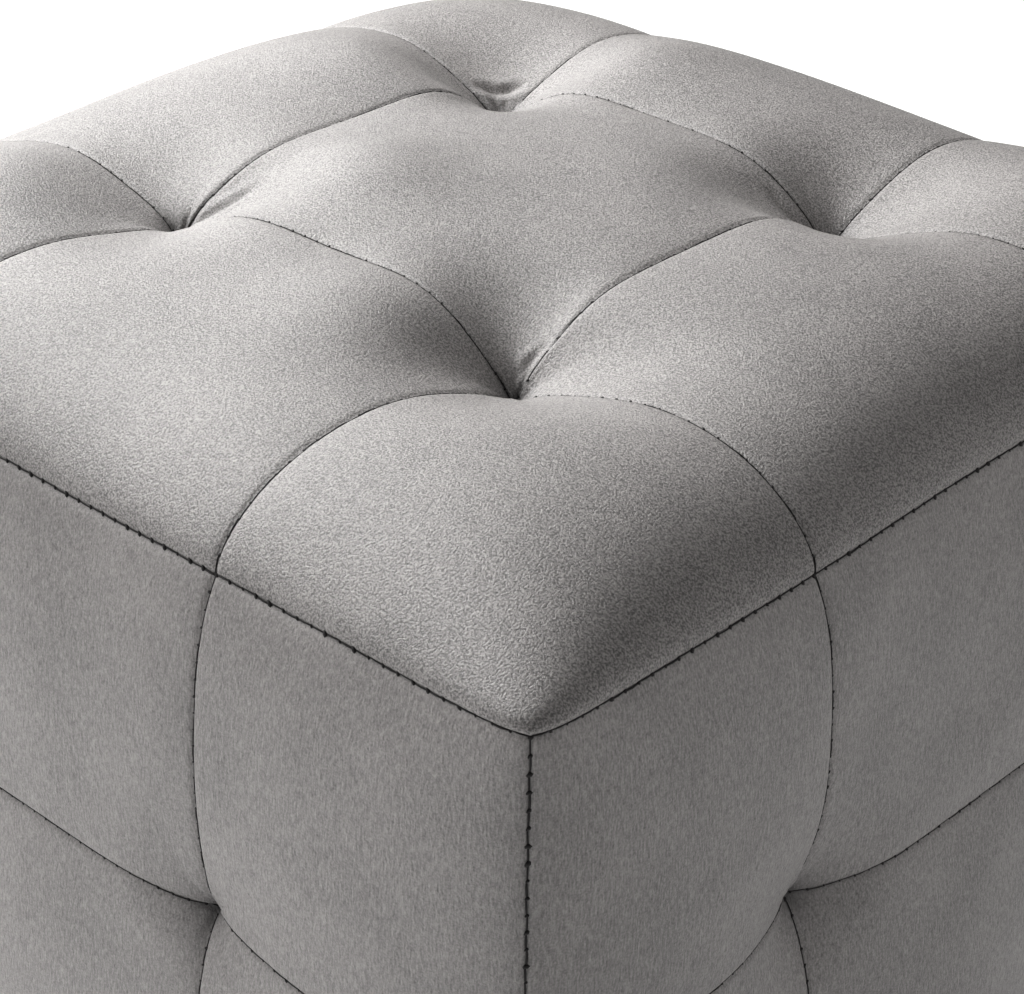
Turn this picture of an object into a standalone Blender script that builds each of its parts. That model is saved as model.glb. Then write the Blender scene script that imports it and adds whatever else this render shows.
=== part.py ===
"""Cube pouf stool.

A filled cube whose cover is sewn from 3 x 3 squares on the top and on each side.
Four points on each face, at the corners of its middle square, are pulled in.
The underside is closed by a flat base panel, on which the stool stands.

Metres, +Z up. The origin is at the bottom centre, and the front is the -Y side.
"""

import math
from collections import namedtuple

import bmesh
import bpy

# Driving dimensions. The cover is measured from seam to seam.
WIDTH = 0.360  # between the edge seams of two opposite sides
SEAM_FROM_MIDDLE = 0.0690  # from a face's middle to each seam between its squares
ROW_HEIGHTS = (0.108, 0.138, 0.108)  # the rows of squares up a side
BOTTOM_SEAM_Z = 0.006  # the lower edge seam stands this far above the floor

# How far along a row of squares the surface has its points, closer beside the seams.
ROW_STEPS = (0.0, 0.05, 0.12, 0.22, 0.35, 0.5, 0.65, 0.78, 0.88, 0.95)

# Underside: the cover is turned under, and the base panel lies in a shallow recess.
RIM_STEPS = ((0.0045, 0.0022), (0.0110, 0.0))  # inset from the edge seam, height
RECESS_INSET = 0.030
RECESS_DEPTH = 0.0023
PANEL_THICKNESS = 0.0020
PIECE_GAP = 0.0003

# The form of a face, in metres:
# crown     how high it stands out over its edge seams
# shoulder  how quickly it rises from them
# pillow    the roundness of each square over its own seams
# pit       how deep a tuft point is pulled in
# outer     how far that pull spreads away from the face's middle
# inner     and how far it spreads towards the middle
# narrow    its share across the middle, the edge and the corner squares
# crease    depth of the channel in which a seam lies
Face = namedtuple("Face", "crown shoulder pillow pit outer inner narrow crease")
TOP = Face(0.0268, 0.0210, 0.0034, 0.0255, 0.0275, 0.0178, (1.45, 1.08, 1.15), 0.0008)
SIDE = Face(0.0063, 0.0450, 0.0012, 0.0085, 0.0230, 0.0180, (0.60, 0.90, 1.00), 0.0008)
CREASE_WIDTH = 0.0050
MEETING = 1.7  # a higher power makes a sharper hip where two shoulders meet
PULL_STRAIGHT = 1.60  # a tuft's slope is straight this far, as a share of its reach
PULL_ROUND = 0.35  # and then rounds off over this much

# The edges: the upper edge seams hang between the corners, and are drawn in.
EDGE_SAG = 0.0036
EDGE_DRAWN_IN = 0.0036
EDGE_REACH = 0.020
TOP_FALL = 0.0019  # the top's corners lie lower than its middle
FALL_SHOULDER = 0.030
CORNER_PULL = 0.0034  # how far the upright corners are drawn in
CORNER_REACH = 0.0100
ROLL = 0.0016  # the top bulges out over its edge seams
ROLL_REACH = 0.0060
CORNER_ROLL = 0.0034  # and more so near its corners
CORNER_ROLL_REACH = 0.022

HALF = WIDTH / 2
PLAN_SEAMS = (-HALF, -SEAM_FROM_MIDDLE, SEAM_FROM_MIDDLE, HALF)
SIDE_SEAMS = tuple(BOTTOM_SEAM_Z + sum(ROW_HEIGHTS[:n]) for n in range(4))
ROWS = len(ROW_HEIGHTS)
STEPS = ROWS * len(ROW_STEPS)


def make_material(name, colour, roughness):
    """A plain cloth finish."""
    material = bpy.data.materials.new(name)
    material.use_nodes = True
    shader = material.node_tree.nodes["Principled BSDF"]
    shader.inputs["Base Color"].default_value = (*colour, 1.0)
    shader.inputs["Roughness"].default_value = roughness
    shader.inputs["Metallic"].default_value = 0.0
    return material


def make_object(name, bm, material):
    """Turns a bmesh into a named object whose faces point out."""
    bmesh.ops.recalc_face_normals(bm, faces=bm.faces)
    mesh = bpy.data.meshes.new(name)
    bm.to_mesh(mesh)
    bm.free()
    mesh.materials.append(material)
    mesh.shade_smooth()
    mesh.set_sharp_from_angle(angle=math.radians(50))
    obj = bpy.data.objects.new(name, mesh)
    bpy.context.scene.collection.objects.link(obj)
    return obj


def lines(seams):
    """The grid lines between the seams of one direction."""
    found = []
    for start, end in zip(seams, seams[1:]):
        found += [start + (end - start) * step for step in ROW_STEPS]
    return found + [seams[-1]]


def rise(distance, length):
    """Goes from 0 at an edge towards 1, most of the way within the length."""
    return 1 - math.exp(-distance / length)


def nearer(first, second):
    """The distance to the nearer of two edges, rounded where they meet."""
    if first <= 0 or second <= 0:
        return 0.0
    both = (first**MEETING + second**MEETING) ** (1 / MEETING)
    return first * second / both


def square_dome(value, seams):
    """1 in the middle of the square that the value lies in, and 0 at its seams."""
    for start, end in zip(seams, seams[1:]):
        if value <= end:
            across = 2 * (value - start) / (end - start) - 1
            return 1 - across * across
    return 0.0


def slope(share):
    """From 1 at a tuft down to 0, straight at first and then rounded off."""
    return PULL_ROUND * math.log1p(math.exp((PULL_STRAIGHT - share) / PULL_ROUND)) / PULL_STRAIGHT


def tuft_pull(u, v, face):
    """How much of a tuft's depth is felt at u, v from it, both positive outwards."""
    distance = math.hypot(u, v)
    if distance == 0:
        return slope(0)
    reach_u = face.outer if u > 0 else face.inner
    reach_v = face.outer if v > 0 else face.inner
    reach = (reach_u * u * u + reach_v * v * v) / (distance * distance)
    slant = abs(2 * u * v) / (distance * distance)
    narrow = face.narrow[(u > 0) + (v > 0)]
    return slope(distance / (reach * (1 - (1 - narrow) * slant)))


def height(u, v, u_seams, v_seams, face):
    """How far the cover stands out of the flat face at u, v."""
    to_u = min(u - u_seams[0], u_seams[-1] - u)
    to_v = min(v - v_seams[0], v_seams[-1] - v)
    out = face.crown * rise(nearer(to_u, to_v), face.shoulder)
    out += face.pillow * square_dome(u, u_seams) * square_dome(v, v_seams)
    for sign_u, seam_u in zip((-1, 1), u_seams[1:-1]):
        for sign_v, seam_v in zip((-1, 1), v_seams[1:-1]):
            away_u = (u - seam_u) * sign_u
            away_v = (v - seam_v) * sign_v
            out -= face.pit * tuft_pull(away_u, away_v, face)
    for along, seams in ((u, u_seams), (v, v_seams)):
        for seam in seams[1:-1]:
            out -= face.crease * math.exp(-abs(along - seam) / CREASE_WIDTH)
    return out


def edge_bend(along, away):
    """How much an upper edge bends at a place along it and a distance away from it."""
    return (1 - (along / HALF) ** 2) * math.exp(-away / EDGE_REACH)


def roll(to_side, to_next):
    """How far the top bulges out over an edge seam, at its distances from two edges."""
    near_corner = math.exp(-(to_side + to_next) / CORNER_ROLL_REACH)
    share = to_side / ROLL_REACH
    swell = share * math.exp(1 - share) * rise(to_next, ROLL_REACH)
    return (ROLL + CORNER_ROLL * near_corner) * swell


def toward(value, amount):
    """Moves a coordinate of the plan towards the middle."""
    return value - math.copysign(amount, value)


def cover_point(i, j, k, plan, levels):
    """A point of the cover, from its place in the grid around the cube."""
    x, y, z = plan[i], plan[j], levels[k]
    to_x = HALF - abs(x)
    to_y = HALF - abs(y)
    drop = SIDE_SEAMS[-1] - z
    bend_x = edge_bend(y, to_x + drop)
    bend_y = edge_bend(x, to_y + drop)
    new_x = toward(x, EDGE_DRAWN_IN * bend_x) if x else x
    new_y = toward(y, EDGE_DRAWN_IN * bend_y) if y else y
    new_z = z - EDGE_SAG * (bend_x + bend_y)
    if i in (0, STEPS):
        new_x += height(y, z, PLAN_SEAMS, SIDE_SEAMS, SIDE) * (1 if i else -1)
    if j in (0, STEPS):
        new_y += height(x, z, PLAN_SEAMS, SIDE_SEAMS, SIDE) * (1 if j else -1)
    if k == STEPS:
        fall = TOP_FALL * (x * x + y * y) / (HALF * HALF)
        new_z += height(x, y, PLAN_SEAMS, PLAN_SEAMS, TOP)
        new_z -= fall * rise(nearer(to_x, to_y), FALL_SHOULDER)
        new_x = toward(new_x, -roll(to_x, to_y))
        new_y = toward(new_y, -roll(to_y, to_x))
    pull = CORNER_PULL * math.exp(-math.hypot(to_x, to_y) / CORNER_REACH)
    return toward(new_x, pull), toward(new_y, pull), new_z


def rim_walk():
    """The grid places once round the plan."""
    n = STEPS
    yield from ((i, 0) for i in range(n))
    yield from ((n, j) for j in range(n))
    yield from ((n - i, n) for i in range(n))
    yield from ((0, n - j) for j in range(n))


def ring(bm, inset, z, plan):
    """A loop of points with the body's outline in plan, drawn in by the inset."""
    scale = (HALF - inset) / HALF
    found = []
    for i, j in rim_walk():
        x, y = plan[i], plan[j]
        from_corner = math.hypot(HALF - abs(x), HALF - abs(y))
        pull = CORNER_PULL * math.exp(-from_corner / CORNER_REACH)
        x, y = toward(x, pull), toward(y, pull)
        found.append(bm.verts.new((x * scale, y * scale, z)))
    return found


def bridge(bm, first, second):
    """Faces between two loops of as many points."""
    for n in range(len(first)):
        m = (n + 1) % len(first)
        bm.faces.new((first[n], first[m], second[m], second[n]))


def make_body(material):
    """The filled body: top and sides on one grid, then the rim turned under."""
    bm = bmesh.new()
    plan = lines(PLAN_SEAMS)
    levels = lines(SIDE_SEAMS)
    places = {}

    def at(i, j, k):
        if (i, j, k) not in places:
            places[i, j, k] = bm.verts.new(cover_point(i, j, k, plan, levels))
        return places[i, j, k]

    for a in range(STEPS):
        for b in range(STEPS):
            square = ((a, b), (a + 1, b), (a + 1, b + 1), (a, b + 1))
            bm.faces.new([at(u, v, STEPS) for u, v in square])
            for end in (0, STEPS):
                bm.faces.new([at(end, u, v) for u, v in square])
                bm.faces.new([at(u, end, v) for u, v in square])

    loop = [at(i, j, 0) for i, j in rim_walk()]
    for inset, z in RIM_STEPS + ((RECESS_INSET, 0.0), (RECESS_INSET, RECESS_DEPTH)):
        inner = ring(bm, inset, z, plan)
        bridge(bm, loop, inner)
        loop = inner
    bm.faces.new(loop)
    return make_object("Pouf_Body", bm, material)


def make_base_panel(material):
    """The flat cloth in the recess of the underside, its lower face on the floor."""
    bm = bmesh.new()
    plan = lines(PLAN_SEAMS)
    inset = RECESS_INSET + PIECE_GAP
    lower = ring(bm, inset, 0.0, plan)
    upper = ring(bm, inset, PANEL_THICKNESS, plan)
    bridge(bm, lower, upper)
    bm.faces.new(lower)
    bm.faces.new(upper)
    return make_object("Base_Panel", bm, material)


def main():
    for obj in list(bpy.data.objects):
        bpy.data.objects.remove(obj)
    make_body(make_material("Velvet", (0.235, 0.224, 0.218), 0.85))
    make_base_panel(make_material("BaseCloth", (0.030, 0.029, 0.029), 0.95))


main()
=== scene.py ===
# Cube pouf stool in grey velvet. The top and each side are sewn from 3 x 3 squares, and the
# corners of each middle square are pulled in. The photographed corner is the one at +X, -Y.
import math
import random

import bpy
import numpy as np
from mathutils import Matrix, Vector


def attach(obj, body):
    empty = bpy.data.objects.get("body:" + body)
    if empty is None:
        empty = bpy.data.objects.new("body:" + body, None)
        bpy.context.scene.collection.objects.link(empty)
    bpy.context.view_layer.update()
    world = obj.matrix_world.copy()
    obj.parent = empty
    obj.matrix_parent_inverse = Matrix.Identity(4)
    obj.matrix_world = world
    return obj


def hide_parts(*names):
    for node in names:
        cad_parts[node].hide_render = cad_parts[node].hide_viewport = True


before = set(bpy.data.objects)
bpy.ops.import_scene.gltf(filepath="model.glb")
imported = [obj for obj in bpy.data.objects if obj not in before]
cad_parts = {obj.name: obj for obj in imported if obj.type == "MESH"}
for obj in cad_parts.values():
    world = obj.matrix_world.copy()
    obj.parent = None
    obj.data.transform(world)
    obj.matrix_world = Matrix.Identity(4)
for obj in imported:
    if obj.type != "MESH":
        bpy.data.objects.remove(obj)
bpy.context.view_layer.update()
scene = bpy.context.scene
rng = random.Random(7)
print("frame loaded")

view = {
    "target": (0.1097, -0.1108, 0.3678),
    "azimuth": 42.06,
    "elevation": 29.69,
    "roll": 1.77,
    "distance": 0.6612,
    "lens": 92.9,
    "clipStart": 0.01,
}


def makeCamera():
    turn = Matrix.Rotation(math.radians(view["azimuth"]), 4, "Z")
    turn @= Matrix.Rotation(math.radians(90 - view["elevation"]), 4, "X")
    turn @= Matrix.Rotation(math.radians(view["roll"]), 4, "Z")
    bpy.ops.object.camera_add()
    camera = bpy.context.object
    camera.name = "Camera"
    camera.data.lens = view["lens"]
    camera.data.clip_start = view["clipStart"]
    place = Vector(view["target"]) + turn.to_3x3() @ Vector((0, 0, view["distance"]))
    camera.matrix_world = Matrix.Translation(place) @ turn
    scene.camera = camera


studio = {
    # place and watts of each lamp
    "lamps": {
        "Key": ((-1.23, 0.24, 1.22), 32.0),
        "Side": ((-1.12, -0.65, 1.22), 12.0),
        "Front": ((-0.84, -1.19, 0.98), 4.5),
        "Right": ((1.09, 0.60, 1.33), 6.0),
    },
    "lampSize": 0.60,
    "lampColour": (1.0, 0.997, 0.99),
    "lookAt": (0.05, -0.05, 0.30),
    "sky": (0.98, 0.99, 1.0),
    "skyStrength": 0.02,
    "transform": "Standard",
    "look": "Medium High Contrast",
}


def makeLights():
    for name, (place, watts) in studio["lamps"].items():
        bpy.ops.object.light_add(type="AREA", location=place)
        lamp = bpy.context.object
        lamp.name = name
        lamp.data.shape = "DISK"
        lamp.data.size = studio["lampSize"]
        lamp.data.energy = watts
        lamp.data.color = studio["lampColour"]
        towards = Vector(studio["lookAt"]) - Vector(place)
        lamp.rotation_euler = towards.to_track_quat("-Z", "Y").to_euler()
    world = bpy.data.worlds.new("Studio")
    world.use_nodes = True
    background = world.node_tree.nodes["Background"]
    background.inputs["Color"].default_value = (*studio["sky"], 1)
    background.inputs["Strength"].default_value = studio["skyStrength"]
    scene.world = world
    scene.view_settings.view_transform = studio["transform"]
    scene.view_settings.look = studio["look"]


# links a value to a socket, or sets a number or a colour on it
def feed(tree, socket, value):
    if isinstance(value, Value):
        tree.links.new(value.socket, socket)
    else:
        socket.default_value = value


# a socket that can be used in sums
class Value:
    def __init__(self, tree, socket):
        self.tree = tree
        self.socket = socket

    def maths(self, operation, first, second):
        node = self.tree.nodes.new("ShaderNodeMath")
        node.operation = operation
        feed(self.tree, node.inputs[0], first)
        feed(self.tree, node.inputs[1], second)
        return Value(self.tree, node.outputs[0])

    def __add__(self, other):
        return self.maths("ADD", self, other)

    def __radd__(self, other):
        return self.maths("ADD", other, self)

    def __sub__(self, other):
        return self.maths("SUBTRACT", self, other)

    def __rsub__(self, other):
        return self.maths("SUBTRACT", other, self)

    def __mul__(self, other):
        return self.maths("MULTIPLY", self, other)

    def __rmul__(self, other):
        return self.maths("MULTIPLY", other, self)

    def __rpow__(self, other):
        return self.maths("POWER", other, self)


# falls from 1 towards 0, most of the way within the length; 2.718 is e
def fading(distance, length):
    return 2.718 ** (distance * (-1 / length))


# a material whose nodes are added one call at a time
class Finish:
    def __init__(self, name):
        self.material = bpy.data.materials.new(name)
        self.material.use_nodes = True
        self.tree = self.material.node_tree
        self.surface = self.tree.nodes["Principled BSDF"]

    def node(self, kind, settings=None, values=None, output=0):
        made = self.tree.nodes.new("ShaderNode" + kind)
        for key, value in (settings or {}).items():
            setattr(made, key, value)
        for key, value in (values or {}).items():
            feed(self.tree, made.inputs[key], value)
        return Value(self.tree, made.outputs[output])

    def set(self, values):
        for key, value in values.items():
            feed(self.tree, self.surface.inputs[key], value)

    def where(self):
        return self.node("TexCoord", output="Object")

    def attribute(self, name):
        return self.node("Attribute", {"attribute_name": name}, output="Fac")

    # the colour sockets of a Mix node have no names of their own, so they go by number
    def blend(self, share, low, high):
        ends = [end if isinstance(end, Value) else (*end, 1) for end in (low, high)]
        colours = {0: share, 6: ends[0], 7: ends[1]}
        return self.node("Mix", {"data_type": "RGBA"}, colours, output=2)

    def stretched(self, where, sizes):
        return self.node("VectorMath", {"operation": "MULTIPLY"}, {0: where, 1: sizes})

    def noise(self, where, size, detail, rough=0.5):
        values = {"Vector": where, "Scale": 1 / size, "Detail": detail, "Roughness": rough}
        return self.node("TexNoise", None, values)


cover = {
    "width": 0.360,  # between opposite edge seams
    "seamsX": (-0.0686, 0.0684),  # the seams between the squares, sewn a little unevenly
    "seamsY": (-0.0655, 0.0755),
    "rows": (0.108, 0.138, 0.108),  # squares up a side
    "bottom": 0.006,  # lower edge seam above the floor
    "meeting": 1.7,  # a higher power makes a sharper hip where two shoulders meet
    "steps": 21,  # grid lines to a row
    "crowding": 0.74,  # how much closer they lie beside the seams
    "creaseWidth": 0.0050,
    "pullStraight": 1.6,  # a tuft's slope is straight this far, as a share of its reach
    "pullRound": 0.35,  # and then rounds off over this much
    "cornerPull": 0.0034,  # how far the upright corners are drawn in
    "cornerReach": 0.0100,
    # the turned-under rim: inset from the edge seam, height
    "rimSteps": ((0.0, 0.006), (0.0045, 0.0022), (0.0110, 0.0), (0.030, 0.0)),
    "recessDepth": 0.0023,
}
# crown: height over the edge seams; shoulder: how quickly it is reached; pillow: roundness
# of each square; pit: depth of a tuft; outer, inner: how far its pull spreads away from and
# towards the face's middle; narrow: its share across the middle, the edge and the corner
# squares; hole: the small dent at its very middle; crease: the channel of a seam
topForm = {
    "crown": 0.0268,
    "shoulder": 0.0210,
    "pillow": 0.0034,
    "pit": 0.0225,
    "outer": 0.0275,
    "inner": 0.0178,
    "narrow": (1.45, 1.08, 1.15),
    "hole": 0.0030,
    "holeReach": 0.0040,
    "crease": 0.0004,
}
sideForm = {
    "crown": 0.0062,
    "shoulder": 0.0270,
    "pillow": 0.0012,
    "pit": 0.0060,
    "outer": 0.0230,
    "inner": 0.0180,
    "narrow": (0.60, 0.90, 1.00),
    "hole": 0.0040,
    "holeReach": 0.0040,
    "crease": 0.0004,
}
edge = {
    "sag": 0.0036,  # how far the upper edge seams hang between the corners
    "drawnIn": 0.0036,  # and how far they are drawn in
    "reach": 0.020,  # of both, into the top and down the sides
    "splayX": (0.0034, 0.0034),  # the inner seams spread towards the edges
    "splayY": (0.0060, 0.0036),
    "splayReach": 0.030,
    "fall": 0.0019,  # the top's corners lie lower than its middle
    "fallShoulder": 0.030,
    "roll": 0.0016,  # the top bulges out over its edge seams
    "rollReach": 0.0060,
    "cornerRoll": 0.0052,  # and more so at its corners
    "cornerRollReach": 0.030,
}
# where the filling was pushed about: place, reach, move
nudges = (
    ((0.125, -0.125, 0.382), 0.055, (0.0, 0.0, 0.0015)),
    ((0.000, -0.125, 0.382), 0.055, (0.0, 0.0, -0.0060)),
    ((0.000, 0.125, 0.382), 0.055, (0.0, 0.0, 0.0015)),
    ((0.125, 0.125, 0.382), 0.055, (0.0, 0.0, 0.0050)),
    ((0.125, -0.185, 0.183), 0.055, (0.0, -0.0045, 0.0)),
    ((0.000, -0.185, 0.306), 0.055, (0.0, 0.0030, 0.0)),
    ((0.185, -0.125, 0.183), 0.055, (-0.0060, 0.0, 0.0)),
    ((0.185, 0.000, 0.306), 0.055, (-0.0060, 0.0, 0.0)),
    ((0.185, 0.000, 0.183), 0.055, (0.0055, 0.0, 0.0)),
    ((-0.150, -0.060, 0.375), 0.060, (0.0, 0.0, -0.0035)),
    ((-0.155, 0.155, 0.370), 0.050, (0.0, 0.0, -0.0060)),
    ((0.165, 0.105, 0.375), 0.060, (0.0, 0.0, 0.0055)),
    ((0.180, -0.180, 0.240), 0.080, (0.0014, 0.0012, 0.0)),
    # the tufts are not all pulled equally tight
    ((0.068, -0.066, 0.370), 0.022, (0.0, 0.0, 0.0020)),
    ((-0.068, -0.066, 0.370), 0.022, (0.0, 0.0, 0.0065)),
    ((0.068, 0.076, 0.370), 0.022, (0.0, 0.0, 0.0020)),
    ((-0.068, 0.076, 0.370), 0.022, (0.0, 0.0, 0.0025)),
    ((0.180, -0.066, 0.252), 0.022, (-0.0040, 0.0, 0.0)),
    # and some squares are fuller beside them
    ((0.030, -0.085, 0.385), 0.028, (0.0, 0.0, 0.0045)),
    ((0.110, -0.045, 0.385), 0.028, (0.0, 0.0, -0.0020)),
    ((-0.105, -0.090, 0.380), 0.030, (0.0, 0.0, 0.0070)),
    ((-0.030, -0.030, 0.385), 0.028, (0.0, 0.0, 0.0070)),
    ((0.035, 0.045, 0.385), 0.028, (0.0, 0.0, 0.0025)),
    ((-0.100, 0.050, 0.380), 0.030, (0.0, 0.0, 0.0065)),
    ((-0.040, 0.110, 0.380), 0.030, (0.0, 0.0, 0.0055)),
)

half = cover["width"] / 2
rowCount = len(cover["rows"])
xSeams = (-half, *cover["seamsX"], half)
ySeams = (-half, *cover["seamsY"], half)
sideSeams = tuple(cover["bottom"] + sum(cover["rows"][:n]) for n in range(rowCount + 1))
gridSize = rowCount * cover["steps"]  # the cover's points lie on a grid of this many steps
sameLine = 1e-4  # grid places nearer than this are on one line
farAway = 1.0  # stands for the distance to a seam or fold that isn't near


def gridLines(seams):
    t = np.arange(cover["steps"]) / cover["steps"]
    share = t - cover["crowding"] * np.sin(2 * np.pi * t) / (2 * np.pi)
    rows = [start + (end - start) * share for start, end in zip(seams, seams[1:])]
    return np.concatenate([*rows, [seams[-1]]])


def flatPlaces(place):
    steps = np.arange(gridSize + 1)
    lines = (gridLines(xSeams), gridLines(ySeams), gridLines(sideSeams))
    return [np.interp(place[:, axis], steps, lines[axis]) for axis in range(3)]


# which points are on the first and on the last grid line, for each axis
def atEnds(place):
    return place < sameLine, place > gridSize - sameLine


# from 0 at an edge towards 1, most of the way within the length
def rise(distance, length):
    return 1 - np.exp(-distance / length)


# the distance to the nearer of two edges, rounded where they meet
def nearer(first, second):
    power, tiny = cover["meeting"], 1e-15  # tiny keeps a division by zero out
    both = (first**power + second**power + tiny) ** (1 / power)
    return first * second / both


# 1 in the middle of each square, and 0 at its seams
def dome(value, seams):
    out = np.zeros_like(value)
    for start, end in zip(seams, seams[1:]):
        inside = (value >= start) & (value <= end)
        across = 2 * (value - start) / (end - start) - 1
        out = np.where(inside, 1 - across * across, out)
    return out


# from 1 at a tuft down to 0, straight at first and then rounded off
def slope(share):
    long, soft = cover["pullStraight"], cover["pullRound"]
    return soft * np.log1p(np.exp((long - share) / soft)) / long


# how much of a tuft's depth is felt at u, v from it
def tuftPull(u, v, outwardU, outwardV, form):
    tiny = 1e-12  # keeps a division by zero out
    squareU, squareV = u * u + tiny, v * v + tiny
    far = squareU + squareV
    outU, outV = u * outwardU > 0, v * outwardV > 0
    reachU = np.where(outU, form["outer"], form["inner"])
    reachV = np.where(outV, form["outer"], form["inner"])
    reach = (reachU * squareU + reachV * squareV) / far
    narrow = np.choose(outU * 1 + outV, form["narrow"])
    reach = reach * (1 - (1 - narrow) * np.abs(2 * u * v) / far)
    return slope(np.sqrt(far) / reach)


# how far the cover stands out of a flat face
def faceHeight(u, v, uSeams, vSeams, form):
    toU = np.minimum(u - uSeams[0], uSeams[-1] - u)
    toV = np.minimum(v - vSeams[0], vSeams[-1] - v)
    out = form["crown"] * rise(nearer(toU, toV), form["shoulder"])
    out = out + form["pillow"] * dome(u, uSeams) * dome(v, vSeams)
    for signU, seamU in zip((-1, 1), uSeams[1:-1]):
        for signV, seamV in zip((-1, 1), vSeams[1:-1]):
            du, dv = u - seamU, v - seamV
            out = out - form["pit"] * tuftPull(du, dv, signU, signV, form)
            out = out - form["hole"] * np.exp(-np.hypot(du, dv) / form["holeReach"])
    for along, seams in ((u, uSeams), (v, vSeams)):
        for seam in seams[1:-1]:
            channel = np.exp(-np.abs(along - seam) / cover["creaseWidth"])
            out = out - form["crease"] * channel
    return out


# how much the top bulges out at a distance from its edge seam
def bulge(away):
    share = away / edge["rollReach"]
    return share * np.exp(1 - share)


# how far the two inner seams of a direction are moved apart
def splayed(value, seams, spread):
    return np.interp(value, seams, (0, -spread[0], spread[1], 0))


# height of the underside at an inset from its edge seam
def underside(inset):
    ends, heights = zip(*cover["rimSteps"])
    rim = np.interp(inset, ends, heights)
    return np.where(inset > ends[-1], cover["recessDepth"], rim)


# from places of the grid round the cube to the sewn and filled form
def formed(place):
    x, y, z = flatPlaces(place)
    low, high = atEnds(place)
    moveX, moveY = high[:, 0] * 1.0 - low[:, 0], high[:, 1] * 1.0 - low[:, 1]
    onTop, onBase = high[:, 2], low[:, 2]
    sideX = faceHeight(y, z, ySeams, sideSeams, sideForm)
    sideY = faceHeight(x, z, xSeams, sideSeams, sideForm)
    top = faceHeight(x, y, xSeams, ySeams, topForm)
    toSideX, toSideY = half - np.abs(x), half - np.abs(y)
    fall = edge["fall"] * (x * x + y * y) / half**2
    top = top - fall * rise(nearer(toSideX, toSideY), edge["fallShoulder"])
    drop = sideSeams[-1] - z
    bendX = (1 - (y / half) ** 2) * np.exp(-(toSideX + drop) / edge["reach"])
    bendY = (1 - (x / half) ** 2) * np.exp(-(toSideY + drop) / edge["reach"])
    splayX = splayed(x, xSeams, edge["splayX"]) * np.exp(-(toSideY + drop) / edge["splayReach"])
    splayY = splayed(y, ySeams, edge["splayY"]) * np.exp(-(toSideX + drop) / edge["splayReach"])
    cornerRoll = np.exp(-(toSideX + toSideY) / edge["cornerRollReach"])
    roll = onTop * (edge["roll"] + edge["cornerRoll"] * cornerRoll)
    rollX = roll * bulge(toSideX) * rise(toSideY, edge["rollReach"])
    rollY = roll * bulge(toSideY) * rise(toSideX, edge["rollReach"])
    newX = x + moveX * sideX + np.sign(x) * (rollX - edge["drawnIn"] * bendX) + splayX
    newY = y + moveY * sideY + np.sign(y) * (rollY - edge["drawnIn"] * bendY) + splayY
    newZ = z + onTop * top - edge["sag"] * (bendX + bendY)
    newZ = np.where(onBase, underside(np.minimum(toSideX, toSideY)), newZ)
    corner = cover["cornerPull"] * np.exp(-np.hypot(toSideX, toSideY) / cover["cornerReach"])
    points = np.stack([newX - np.sign(x) * corner, newY - np.sign(y) * corner, newZ], 1)
    for middle, width, move in nudges:
        far = ((points - middle) ** 2).sum(1)
        points = points + np.exp(-far / width**2)[:, None] * np.array(move)
    return points


def readVectors(source, name):
    found = np.empty(len(source) * 3, np.float32)
    source.foreach_get(name, found)
    return found.reshape(-1, 3).astype(float)


def coordinates(body):
    return readVectors(body.data.vertices, "co")


def normals(body):
    return readVectors(body.data.vertex_normals, "vector")


# each point's place on the grid round the cube, which later steps of the mesh keep
def places(body):
    return readVectors(body.data.attributes["place"].data, "vector")


def addMark(body, name, values, kind="FLOAT", field="value"):
    mark = body.data.attributes.new(name, kind, "POINT")
    mark.data.foreach_set(field, values.astype(np.float32).ravel())


def movePoints(body, points):
    body.data.vertices.foreach_set("co", points.astype(np.float32).ravel())
    body.data.update()


def makeCover():
    bpy.ops.object.select_all(action="DESELECT")
    bpy.ops.mesh.primitive_cube_add(size=1)
    body = bpy.context.object
    body.name = "Pouf_Cover"
    bpy.ops.object.mode_set(mode="EDIT")
    bpy.ops.mesh.select_all(action="SELECT")
    bpy.ops.mesh.subdivide(number_cuts=gridSize - 1)
    bpy.ops.object.mode_set(mode="OBJECT")
    place = np.rint((coordinates(body) + 0.5) * gridSize)
    addMark(body, "place", place, "FLOAT_VECTOR", "vector")
    movePoints(body, formed(place))
    print("cover placed:", len(place), "points")
    return body


# each face's points, and where they lie on it before it is filled
def faces(place):
    x, y, z = flatPlaces(place)
    low, high = atEnds(place)
    return {
        "Top": (high[:, 2], x, y, xSeams, ySeams),
        "Front": (low[:, 1], x, z, xSeams, sideSeams),
        "Right": (high[:, 0], y, z, ySeams, sideSeams),
        "Back": (high[:, 1], x, z, xSeams, sideSeams),
        "Left": (low[:, 0], y, z, ySeams, sideSeams),
    }


# the tufts of a face: where each lies on it
def tufts(uSeams, vSeams):
    return [(seamU, seamV) for seamU in uSeams[1:-1] for seamV in vSeams[1:-1]]


def seamGaps(place):
    gap = np.full(len(place), farAway)
    for onFace, u, v, uSeams, vSeams in faces(place).values():
        for across, seams in ((u, uSeams), (v, vSeams)):
            for line in seams:
                near = np.where(onFace, np.abs(across - line), farAway)
                gap = np.minimum(gap, near)
    return gap


def tuftGaps(place):
    gap = np.full(len(place), farAway)
    for onFace, u, v, uSeams, vSeams in faces(place).values():
        for seamU, seamV in tufts(uSeams, vSeams):
            near = np.where(onFace, np.hypot(u - seamU, v - seamV), farAway)
            gap = np.minimum(gap, near)
    return gap


filling = {
    "pressure": 4.0,
    "frames": 20,
    "quality": 5,
    "cap": 0.0015,  # the furthest a point may move
    "heldReach": 0.004,  # the cloth is held this near a seam
}


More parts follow.
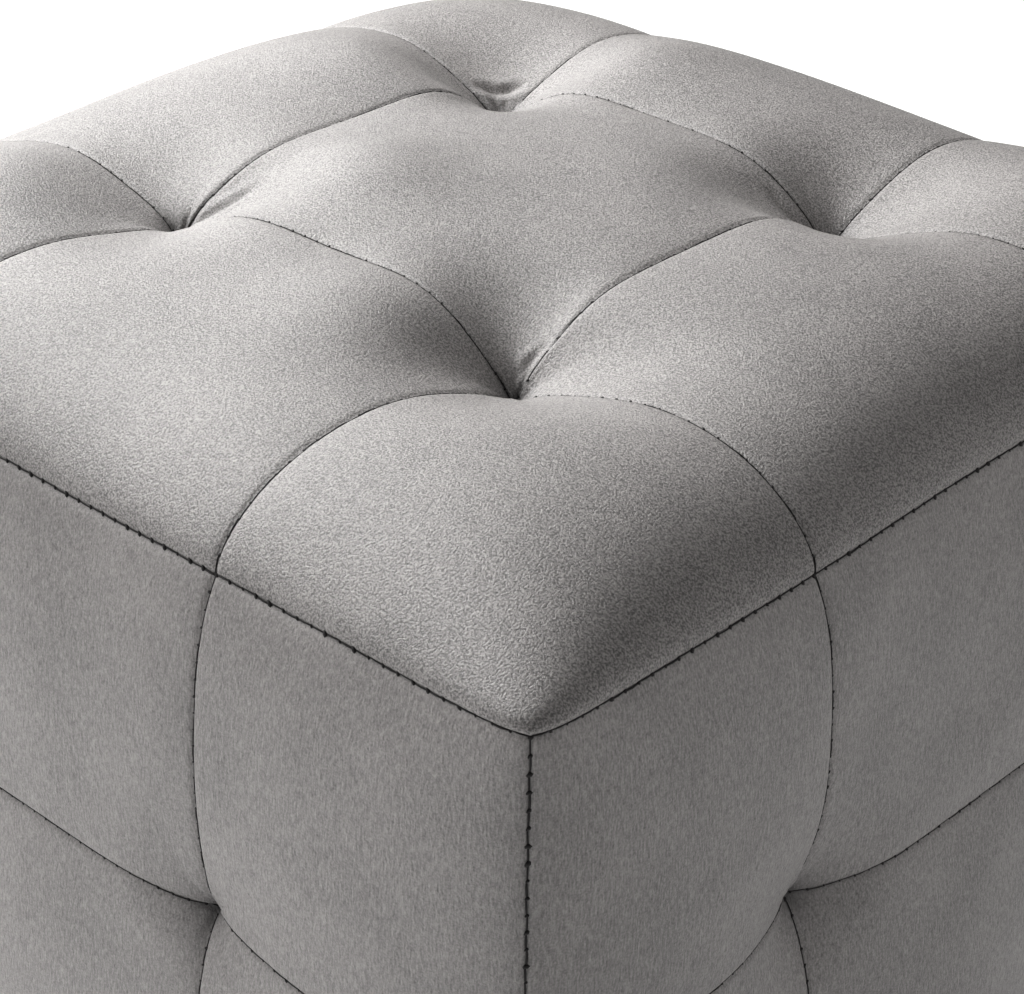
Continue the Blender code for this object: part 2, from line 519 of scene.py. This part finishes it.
def fillCover(body):
    start, place = coordinates(body), places(body)
    held = np.exp(-((seamGaps(place) / filling["heldReach"]) ** 2))
    low, high = atEnds(place)
    held[low[:, 2]] = 1.0
    held = np.round(held, 2)
    group = body.vertex_groups.new(name="Held")
    for weight in np.unique(held):
        points = np.flatnonzero(held == weight)
        group.add(points.tolist(), float(weight), "REPLACE")
    cloth = body.modifiers.new("Filling", "CLOTH")
    cloth.settings.vertex_group_mass = group.name
    cloth.settings.use_pressure = True
    cloth.settings.uniform_pressure_force = filling["pressure"]
    cloth.settings.effector_weights.gravity = 0
    cloth.settings.quality = filling["quality"]
    for number in range(1, filling["frames"] + 1):
        scene.frame_set(number)
    seen = body.evaluated_get(bpy.context.evaluated_depsgraph_get())
    moved = coordinates(seen) - start
    body.modifiers.remove(cloth)
    body.vertex_groups.remove(group)
    scene.frame_set(1)
    length = np.maximum(np.linalg.norm(moved, axis=1), 1e-9)  # never zero
    moved *= np.minimum(1, filling["cap"] / length)[:, None]
    movePoints(body, start + moved)
    print("cover filled: moved up to", round(1000 * float(length.max()), 1), "mm")


def subdivideOnce(body):
    finer = body.modifiers.new("Finer", "SUBSURF")
    finer.levels = finer.render_levels = 1
    bpy.context.view_layer.objects.active = body
    bpy.ops.object.modifier_apply(modifier=finer.name)


# folds beside the tufts of the top: the points they run through in plan, their half width
# and their depth
folds = (
    (((-0.0656, -0.0618), (-0.0612, -0.0540), (-0.0562, -0.0420)), 0.0016, 0.0008),
    (((0.0652, -0.0610), (0.0655, -0.0560), (0.0672, -0.0480)), 0.0012, 0.0004),
    (((-0.0850, 0.0790), (-0.0780, 0.0840), (-0.0725, 0.0920)), 0.0018, 0.0012),
    (((0.0640, 0.0720), (0.0560, 0.0700), (0.0470, 0.0705)), 0.0018, 0.0007),
)
foldForm = {
    "ridgeAway": 2.2,  # from the fold's line to the ridge beside it, in half widths
    "ridge": 0.5,  # the ridge's height as a share of the fold's depth
    "finer": 0.006,  # faces this near a fold are made finer
}
# the small gathers that run out from every tuft
gather = {
    "height": 0.00038,
    "start": 0.003,  # they rise over this distance from the tuft
    "reach": 0.0085,
    "waves": (5, 8, 13),  # to a turn round the tuft
    "phases": (0, 6.28),
}


# distance from a folded line in plan, and how far along it, from 0 to 1
def besideLine(x, y, line):
    gap, share = np.full(len(x), farAway), np.zeros(len(x))
    for number, (start, end) in enumerate(zip(line, line[1:])):
        (ax, ay), (bx, by) = start, end
        length = (bx - ax) ** 2 + (by - ay) ** 2
        at = np.clip(((x - ax) * (bx - ax) + (y - ay) * (by - ay)) / length, 0, 1)
        near = np.hypot(x - ax - at * (bx - ax), y - ay - at * (by - ay))
        share = np.where(near < gap, (number + at) / (len(line) - 1), share)
        gap = np.minimum(gap, near)
    return gap, share


def refineFolds(body):
    x, y, z = readVectors(body.data.polygons, "center").T
    near = np.zeros(len(z), bool)
    for line, *sizes in folds:
        gap, share = besideLine(x, y, line)
        near |= (gap < foldForm["finer"]) & (z > sideSeams[-1])
    bpy.context.tool_settings.mesh_select_mode = (False, False, True)
    bpy.ops.object.mode_set(mode="EDIT")
    bpy.ops.mesh.select_all(action="DESELECT")
    bpy.ops.object.mode_set(mode="OBJECT")
    body.data.polygons.foreach_set("select", near)
    bpy.ops.object.mode_set(mode="EDIT")
    bpy.ops.mesh.subdivide(number_cuts=1)
    bpy.ops.object.mode_set(mode="OBJECT")


def addFolds(body):
    place = places(body)
    move = np.zeros(len(place))
    for name, (onFace, u, v, uSeams, vSeams) in faces(place).items():
        for seamU, seamV in tufts(uSeams, vSeams):
            du, dv = u - seamU, v - seamV
            far, turn = np.hypot(du, dv), np.arctan2(dv, du)
            phases = [rng.uniform(*gather["phases"]) for n in gather["waves"]]
            waves = sum(np.sin(n * turn + phase) for n, phase in zip(gather["waves"], phases))
            swell = np.exp(-far / gather["reach"]) * rise(far, gather["start"])
            move += np.where(onFace, gather["height"] * waves * swell, 0)
        if name == "Top":
            for line, width, depth in folds:
                gap, share = besideLine(u, v, line)
                ends = np.sqrt(np.clip(np.sin(np.pi * share), 0, 1))
                valley = np.exp(-((gap / width) ** 2))
                beside = gap - foldForm["ridgeAway"] * width
                ridge = foldForm["ridge"] * np.exp(-((beside / width) ** 2))
                move += np.where(onFace, depth * ends * (ridge - valley), 0)
    movePoints(body, coordinates(body) + normals(body) * move[:, None])
    print("folds and gathers pressed in")


seam = {
    "grooveDepth": 0.0007,
    "grooveWidth": 0.0006,
    "stitch": 0.0050,
    "threadRadius": 0.00023,
    "threadSides": 5,
    "cuts": (-0.36, 0.0, 0.36),  # where a stitch has its rings, as shares of its length
    "taper": 0.55,  # how much thinner it is at its tips
    "taperPower": 6,  # a higher power keeps the taper nearer to the tips
    "innerShare": 0.62,  # the seams between the squares show a thinner thread
    "thickness": (0.75, 1.25),
    "lean": (-3, 3),  # degrees
    "stray": 0.00022,  # how far a stitch wanders off the line
    "arch": 0.00016,
    "proud": 0.00022,  # how far the thread stands out of its groove
    "knot": (0.00092, 0.00052, 0.00044),  # half sizes across, along and out of the cloth
    "knotSizes": (0.70, 1.40),
    "knotLeast": 0.4,  # share of a knot's size that a thinner thread doesn't change
    "knotSlant": (10, 50),  # degrees
}
bands = (cover["steps"], 2 * cover["steps"])  # grid lines that carry the inner seams


# marks that the velvet reads: each point's distance from the nearest seam and tuft and from
# the upper edge, and whether it is on the top
def markCover(body):
    place = places(body)
    low, high = atEnds(place)
    addMark(body, "seamGap", seamGaps(place))
    addMark(body, "tuftGap", tuftGaps(place))
    addMark(body, "topShare", high[:, 2])
    addMark(body, "edgeGap", sideSeams[-1] - flatPlaces(place)[2])


def pressSeams(body):
    depth = seam["grooveDepth"] * np.exp(-seamGaps(places(body)) / seam["grooveWidth"])
    movePoints(body, coordinates(body) - normals(body) * depth[:, None])
    print("seams pressed in")


# the points and normals along every sewn line, by name
def seamLines(body):
    place, points, outward = places(body), coordinates(body), normals(body)
    low, high = 0, gridSize
    found = {}

    # i, j and k are the axes of the grid; the line runs along one, the others are fixed
    def add(name, runs, **fixed):
        at = np.ones(len(place), bool)
        for axis, value in fixed.items():
            at &= np.abs(place[:, "ijk".index(axis)] - value) < sameLine
        order = np.flatnonzero(at)
        order = order[np.argsort(place[order, "ijk".index(runs)])]
        found[name] = (points[order], outward[order])

    for side, axis, value, across in (
        ("Front", "j", low, "i"),
        ("Right", "i", high, "j"),
        ("Back", "j", high, "i"),
        ("Left", "i", low, "j"),
    ):
        add(f"Upper_Edge_{side}", across, k=high, **{axis: value})
        add(f"Lower_Edge_{side}", across, k=low, **{axis: value})
        for number, band in enumerate(bands, 1):
            add(f"{side}_Upright_{number}", "k", **{axis: value, across: band})
            add(f"{side}_Level_{number}", across, **{axis: value, "k": band})
    for number, band in enumerate(bands, 1):
        add(f"Top_Along_{number}", "j", k=high, i=band)
        add(f"Top_Across_{number}", "i", k=high, j=band)
    for number, (i, j) in enumerate(((low, low), (high, low), (high, high), (low, high)), 1):
        add(f"Corner_{number}", "k", i=i, j=j)
    return found


# the stitch lies along Y at the origin, with +Z out of the cloth
def makeStitch():
    bpy.ops.object.select_all(action="DESELECT")
    bpy.ops.mesh.primitive_cylinder_add(
        vertices=seam["threadSides"],
        radius=seam["threadRadius"],
        depth=seam["stitch"],
        end_fill_type="TRIFAN",
        rotation=(math.pi / 2, 0, 0),
    )
    stitch = bpy.context.object
    bpy.ops.object.transform_apply(location=False, rotation=True, scale=False)
    bpy.ops.object.mode_set(mode="EDIT")
    for part in seam["cuts"]:
        bpy.ops.mesh.select_all(action="SELECT")
        cut = (0, part * seam["stitch"], 0)
        bpy.ops.mesh.bisect(plane_co=cut, plane_no=(0, 1, 0))
    bpy.ops.object.mode_set(mode="OBJECT")
    tip = seam["stitch"] / 2
    for point in stitch.data.vertices:
        share = abs(point.co.y) / tip
        thin = 1 - seam["taper"] * share ** seam["taperPower"]
        point.co.x *= thin
        point.co.z *= thin
        point.co.z += seam["arch"] * (1 - 2 * share**2)
    stitch.data.shade_smooth()
    return stitch


# the knot between two stitches, turned as they are
def makeKnot():
    bpy.ops.object.select_all(action="DESELECT")
    bpy.ops.mesh.primitive_ico_sphere_add(subdivisions=1, radius=1)
    knot = bpy.context.object
    bpy.ops.transform.resize(value=seam["knot"])
    bpy.ops.object.transform_apply(location=False, rotation=False, scale=True)
    knot.data.shade_smooth()
    return knot


def copyTo(model, matrix):
    copy = model.copy()
    copy.data = model.data.copy()
    copy.data.transform(matrix)
    scene.collection.objects.link(copy)
    return copy


def joined(pieces, name):
    bpy.ops.object.select_all(action="DESELECT")
    for piece in pieces:
        piece.select_set(True)
    bpy.context.view_layer.objects.active = pieces[0]
    bpy.ops.object.join()
    piece = bpy.context.object
    piece.name = piece.data.name = name
    return piece


# values of a line of points at some distances along it
def evenly(line, along, spots):
    return np.stack([np.interp(spots, along, column) for column in line.T], 1)


# one row of stitches along a line, with a knot at the end of each
def sewSeam(name, line, outward, stitch, knot):
    along = np.concatenate([[0], np.cumsum(np.linalg.norm(np.diff(line, axis=0), axis=1))])
    count = max(2, round(along[-1] / seam["stitch"]))
    pitch = along[-1] / count
    spots = (np.arange(count) + 0.5) * pitch
    middles, ups = evenly(line, along, spots), evenly(outward, along, spots)
    starts, ends = evenly(line, along, spots - pitch / 2), evenly(line, along, spots + pitch / 2)
    size = 1.0 if "Edge" in name or "Corner" in name else seam["innerShare"]
    knotShare = seam["knotLeast"] + (1 - seam["knotLeast"]) * size
    made = []
    for middle, up, start, end in zip(middles, ups, starts, ends):
        up, ahead = Vector(up).normalized(), Vector(end - start).normalized()
        side = ahead.cross(up).normalized()
        up = side.cross(ahead)
        turn = Matrix((side, ahead, up)).transposed().to_4x4()
        stretch = Vector(end - start).dot(ahead) / seam["stitch"]
        thick = size * rng.uniform(*seam["thickness"])
        lean = Matrix.Rotation(math.radians(rng.uniform(*seam["lean"])), 4, "Z")
        shape = lean @ Matrix.Diagonal((thick, stretch, thick, 1))
        stray = side * rng.uniform(-seam["stray"], seam["stray"])
        place = Matrix.Translation(Vector(middle) + up * seam["proud"] * size + stray)
        made.append(copyTo(stitch, place @ turn @ shape))
        slant = Matrix.Rotation(math.radians(rng.uniform(*seam["knotSlant"])), 4, "Z")
        place = Matrix.Translation(Vector(end) + up * seam["proud"] * size)
        large = Matrix.Scale(rng.uniform(*seam["knotSizes"]) * knotShare, 4)
        made.append(copyTo(knot, place @ turn @ slant @ large))
    return joined(made, name)


evenTone = 0.5  # the middle of a noise, and halfway from dark to light

velvet = {
    "dark": (0.0840, 0.0785, 0.0760),
    "light": (0.389, 0.3645, 0.3555),
    "grain": 0.00058,
    "grainRough": 0.65,
    "detail": 3,
    "topGrain": 4.2,  # how much the grain of the pile changes the tone
    "sideGrain": 2.8,
    "streak": (1.0, 1.0, 0.22),  # the pile of the sides lies in short upright streaks
    "streakShare": 0.55,
    "brushed": 0.030,  # size of the patches where the pile was brushed another way
    "brushedShare": 0.45,
    # the colour of the painted shade in the seam grooves and in the hollows round the tufts
    "paintedShade": (0.020, 0.018, 0.018),
    "seamShadeWidth": 0.00034,  # width of the painted shade along a seam's groove
    "seamShadeShare": 0.60,
    # painted shade in the hollow round each tuft: how far it reaches and how dark it gets
    "tuftShadeReach": 0.0050,
    "tuftShadeShare": 0.85,
    "fringe": 0.0022,  # the nap stands up just below the upper edge
    "fringeShare": 0.35,
    "roughness": 0.60,
    "sheen": 0.10,
    "sheenRoughness": 0.40,
    "bump": 0.9,
    "bumpHeight": 0.0005,
    "gloss": 1.6,  # index of refraction
    "glossLevel": 1.0,
}


def velvetMaterial():
    made = Finish("Velvet")
    where, top = made.where(), made.attribute("topShare")
    upright = made.stretched(where, velvet["streak"])
    fine = made.noise(where, velvet["grain"], velvet["detail"], velvet["grainRough"])
    streaks = made.noise(upright, velvet["grain"], velvet["detail"], velvet["grainRough"])
    sideGrain = (1 - velvet["streakShare"]) * fine + velvet["streakShare"] * streaks
    grain = top * fine + (1 - top) * sideGrain
    strength = velvet["sideGrain"] + (velvet["topGrain"] - velvet["sideGrain"]) * top
    brushed = made.noise(where, velvet["brushed"], velvet["detail"])
    fringe = fading(made.attribute("edgeGap"), velvet["fringe"]) * (1 - top)
    tone = evenTone + (grain - evenTone) * strength
    tone = tone + (brushed - evenTone) * velvet["brushedShare"]
    tone = tone + fringe * streaks * velvet["fringeShare"]
    colour = made.blend(tone, velvet["dark"], velvet["light"])
    seamShade = fading(made.attribute("seamGap"), velvet["seamShadeWidth"])
    tuftShade = fading(made.attribute("tuftGap"), velvet["tuftShadeReach"])
    # painted shade: darker in the hollow round each tuft
    colour = made.blend(tuftShade * velvet["tuftShadeShare"], colour, velvet["paintedShade"])
    # painted shade: darker along each seam's groove
    colour = made.blend(seamShade * velvet["seamShadeShare"], colour, velvet["paintedShade"])
    height = {"Strength": velvet["bump"], "Distance": velvet["bumpHeight"], "Height": grain}
    made.set({"Base Color": colour, "Normal": made.node("Bump", None, height)})
    made.set({"Roughness": velvet["roughness"], "IOR": velvet["gloss"]})
    made.set({"Specular IOR Level": velvet["glossLevel"]})
    made.set({"Sheen Weight": velvet["sheen"], "Sheen Roughness": velvet["sheenRoughness"]})
    return made.material


baseCloth = {
    "dark": (0.014, 0.014, 0.015),
    "light": (0.045, 0.044, 0.045),
    "fibre": 0.0007,
    "fibreDetail": 4,
    "fibreRough": 0.7,
    "fibreShare": 1.6,  # how much the fibres change the tone
    "weld": 0.0022,  # pitch of the small welds of the felted cloth
    "weldShare": 0.5,
    "cloud": 0.03,
    "cloudDetail": 2,
    "cloudShare": 0.5,
    "bump": 0.5,
    "bumpHeight": 0.0003,
    "bumpFibre": 0.5,  # height of the fibres as a share of the welds'
    "roughness": 0.88,
}


def baseMaterial():
    made = Finish("Base_Cloth")
    where = made.where()
    fibre = made.noise(
        where, baseCloth["fibre"], baseCloth["fibreDetail"], baseCloth["fibreRough"]
    )
    weld = made.node("TexVoronoi", None, {"Vector": where, "Scale": 1 / baseCloth["weld"]})
    cloud = made.noise(where, baseCloth["cloud"], baseCloth["cloudDetail"])
    tone = (fibre - evenTone) * baseCloth["fibreShare"] + weld * baseCloth["weldShare"]
    tone = tone + cloud * baseCloth["cloudShare"]
    relief = fibre * baseCloth["bumpFibre"] + weld
    height = {
        "Strength": baseCloth["bump"],
        "Distance": baseCloth["bumpHeight"],
        "Height": relief,
    }
    made.set({"Base Color": made.blend(tone, baseCloth["dark"], baseCloth["light"])})
    made.set({"Normal": made.node("Bump", None, height)})
    made.set({"Roughness": baseCloth["roughness"]})
    return made.material


thread = {
    "colour": (0.022, 0.020, 0.020),
    "roughness": 0.7,
}


def threadMaterial():
    made = Finish("Thread")
    made.set({"Base Color": (*thread["colour"], 1), "Roughness": thread["roughness"]})
    return made.material


def finishPiece(piece, material):
    piece.data.materials.clear()
    piece.data.materials.append(material)
    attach(piece, "root")


ground = {
    "size": 14,
    "colour": (0.80, 0.80, 0.80),
    "roughness": 0.8,
    "glowColour": (1, 1, 1),
    "glow": 0.33,
}


def makeFloor():
    bpy.ops.object.select_all(action="DESELECT")
    bpy.ops.mesh.primitive_plane_add(size=ground["size"])
    floor = bpy.context.object
    floor.name = "Floor"
    paint = Finish("FloorPaint")
    paint.set({"Base Color": (*ground["colour"], 1), "Roughness": ground["roughness"]})
    paint.set({"Emission Color": (*ground["glowColour"], 1), "Emission Strength": ground["glow"]})
    floor.data.materials.append(paint.material)


makeCamera()
makeLights()
makeFloor()
print("camera, lights and floor made")

body = makeCover()
fillCover(body)
subdivideOnce(body)
refineFolds(body)
addFolds(body)
markCover(body)
pressSeams(body)
body.data.shade_smooth()
finishPiece(body, velvetMaterial())
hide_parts("Pouf_Body")
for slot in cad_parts["Base_Panel"].material_slots:
    slot.material = baseMaterial()
print("cover and base panel finished")

threadFinish = threadMaterial()
stitch, knot = makeStitch(), makeKnot()
for name, (line, outward) in seamLines(body).items():
    row = sewSeam(f"Thread_{name}", line, outward, stitch, knot)
    finishPiece(row, threadFinish)
for model in (stitch, knot):
    bpy.data.objects.remove(model)
print("seams sewn")
